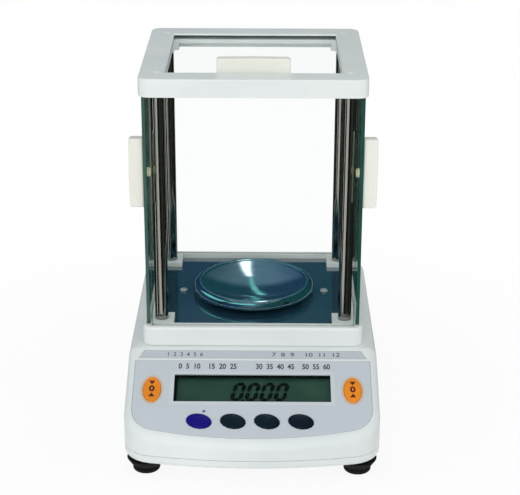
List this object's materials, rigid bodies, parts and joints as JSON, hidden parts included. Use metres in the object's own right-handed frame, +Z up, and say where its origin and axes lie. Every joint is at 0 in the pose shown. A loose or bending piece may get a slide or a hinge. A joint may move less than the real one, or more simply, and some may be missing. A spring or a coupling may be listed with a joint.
{
  "type": "laboratory balance",
  "caption": "Bench laboratory balance with a round weighing pan, a sloping keypad with a display, and a draught shield with sliding side doors and a sliding lid.",
  "frame": {"origin": "on the table, under the middle of the case", "axes": "+Z up from the table, +X to the user's right, +Y towards the rear, so the keypad faces -Y"},
  "size_m": [0.22, 0.308, 0.3389],
  "materials": {
    "case_plastic": "fine satin moulding",
    "overlay_film": "printed film, satin",
    "strip_film": "printed film, satin",
    "clear_glass": "polished, with green edges",
    "steel": "polished stainless steel",
    "floor_steel": "mirror-polished plate",
    "aluminium": "machined",
    "black_plastic": "moulded",
    "rubber": "moulded",
    "circuit_board": "solder mask",
    "display": "liquid crystal glass",
    "slate_key": "moulded",
    "blue_key": "moulded",
    "orange_key": "moulded",
    "lamp": "clear lens",
    "cream_plastic": "moulded",
    "vial_fluid": "clear"
  },
  "bodies": {
    "housing": {"lower_case": "case_plastic", "upper_case": "case_plastic", "case_screw_rear_left": "steel", "case_screw_rear_right": "steel", "case_screw_front_left": "steel", "case_screw_front_right": "steel", "rear_foot_left": "rubber", "rear_foot_right": "rubber", "keypad_overlay": "overlay_film", "label_strip": "strip_film", "display_window": "clear_glass", "lcd_module": "display", "display_board": "circuit_board", "power_led": "lamp", "main_board": "circuit_board", "power_jack": "black_plastic", "serial_port": "steel", "level_vial": "vial_fluid", "base_plate": "aluminium", "load_cell_spacer": "aluminium", "load_cell": "aluminium", "pan_support": "aluminium", "chamber_floor": "floor_steel", "floor_screw_left": "steel", "floor_screw_right": "steel", "shield_base_frame": "case_plastic", "post_front_left": "steel", "post_front_right": "steel", "post_rear_left": "steel", "post_rear_right": "steel", "post_screw_front_left": "steel", "post_screw_front_right": "steel", "post_screw_rear_left": "steel", "post_screw_rear_right": "steel", "shield_top_frame": "case_plastic", "front_glass": "clear_glass", "rear_glass": "clear_glass"},
    "left_door": {"left_door_glass": "clear_glass", "left_door_grip": "cream_plastic", "left_grip_nut": "cream_plastic"},
    "right_door": {"right_door_glass": "clear_glass", "right_door_grip": "cream_plastic", "right_grip_nut": "cream_plastic"},
    "top_lid": {"top_door_glass": "clear_glass", "top_door_grip": "cream_plastic", "top_grip_nut": "cream_plastic"},
    "pan": {"weighing_pan": "steel"},
    "power_key": {"key_power": "blue_key"},
    "mode_key": {"key_mode": "slate_key"},
    "count_key": {"key_count": "slate_key"},
    "print_key": {"key_print": "slate_key"},
    "left_tare_key": {"key_tare_left": "orange_key"},
    "right_tare_key": {"key_tare_right": "orange_key"},
    "left_foot": {"foot_sole_left": "rubber"},
    "left_foot_wheel": {"foot_wheel_left": "black_plastic"},
    "right_foot": {"foot_sole_right": "rubber"},
    "right_foot_wheel": {"foot_wheel_right": "black_plastic"}
  },
  "joints": [
    {"name": "left_door_slide", "type": "slide", "parent": "housing", "child": "left_door", "axis": [0, 1, 0], "range_m": [0, 0.13]},
    {"name": "right_door_slide", "type": "slide", "parent": "housing", "child": "right_door", "axis": [0, 1, 0], "range_m": [0, 0.13]},
    {"name": "lid_slide", "type": "slide", "parent": "housing", "child": "top_lid", "axis": [0, 1, 0], "range_m": [0, 0.125]},
    {"name": "pan_lift", "type": "slide", "parent": "housing", "child": "pan", "axis": [0, 0, 1], "range_m": [0, 0.05]},
    {"name": "power_key_press", "type": "slide", "parent": "housing", "child": "power_key", "axis": [0, 0.402, -0.9157], "range_m": [0, 0.001], "stiffness_N_per_m": 500, "springref_m": -0.001},
    {"name": "mode_key_press", "type": "slide", "parent": "housing", "child": "mode_key", "axis": [0, 0.402, -0.9157], "range_m": [0, 0.001], "stiffness_N_per_m": 500, "springref_m": -0.001},
    {"name": "count_key_press", "type": "slide", "parent": "housing", "child": "count_key", "axis": [0, 0.402, -0.9157], "range_m": [0, 0.001], "stiffness_N_per_m": 500, "springref_m": -0.001},
    {"name": "print_key_press", "type": "slide", "parent": "housing", "child": "print_key", "axis": [0, 0.402, -0.9157], "range_m": [0, 0.001], "stiffness_N_per_m": 500, "springref_m": -0.001},
    {"name": "left_tare_key_press", "type": "slide", "parent": "housing", "child": "left_tare_key", "axis": [0, 0.402, -0.9157], "range_m": [0, 0.001], "stiffness_N_per_m": 500, "springref_m": -0.001},
    {"name": "right_tare_key_press", "type": "slide", "parent": "housing", "child": "right_tare_key", "axis": [0, 0.402, -0.9157], "range_m": [0, 0.001], "stiffness_N_per_m": 500, "springref_m": -0.001},
    {"name": "left_foot_rise", "type": "slide", "parent": "housing", "child": "left_foot", "axis": [0, 0, 1], "range_m": [-0.00187, 0.00187]},
    {"name": "left_wheel_turn", "type": "hinge", "parent": "left_foot", "child": "left_foot_wheel", "pos_m": [-0.091, -0.124, 0.0087], "axis": [0, 0, 1], "range_deg": [-541, 541]},
    {"name": "right_foot_rise", "type": "slide", "parent": "housing", "child": "right_foot", "axis": [0, 0, 1], "range_m": [-0.00187, 0.00187]},
    {"name": "right_wheel_turn", "type": "hinge", "parent": "right_foot", "child": "right_foot_wheel", "pos_m": [0.091, -0.124, 0.0087], "axis": [0, 0, 1], "range_deg": [-541, 541]}
  ],
  "couplings": [
    {"joint": "left_wheel_turn", "follows": "left_foot_rise", "rad_per_m": 5026.5},
    {"joint": "right_wheel_turn", "follows": "right_foot_rise", "rad_per_m": 5026.5}
  ]
}
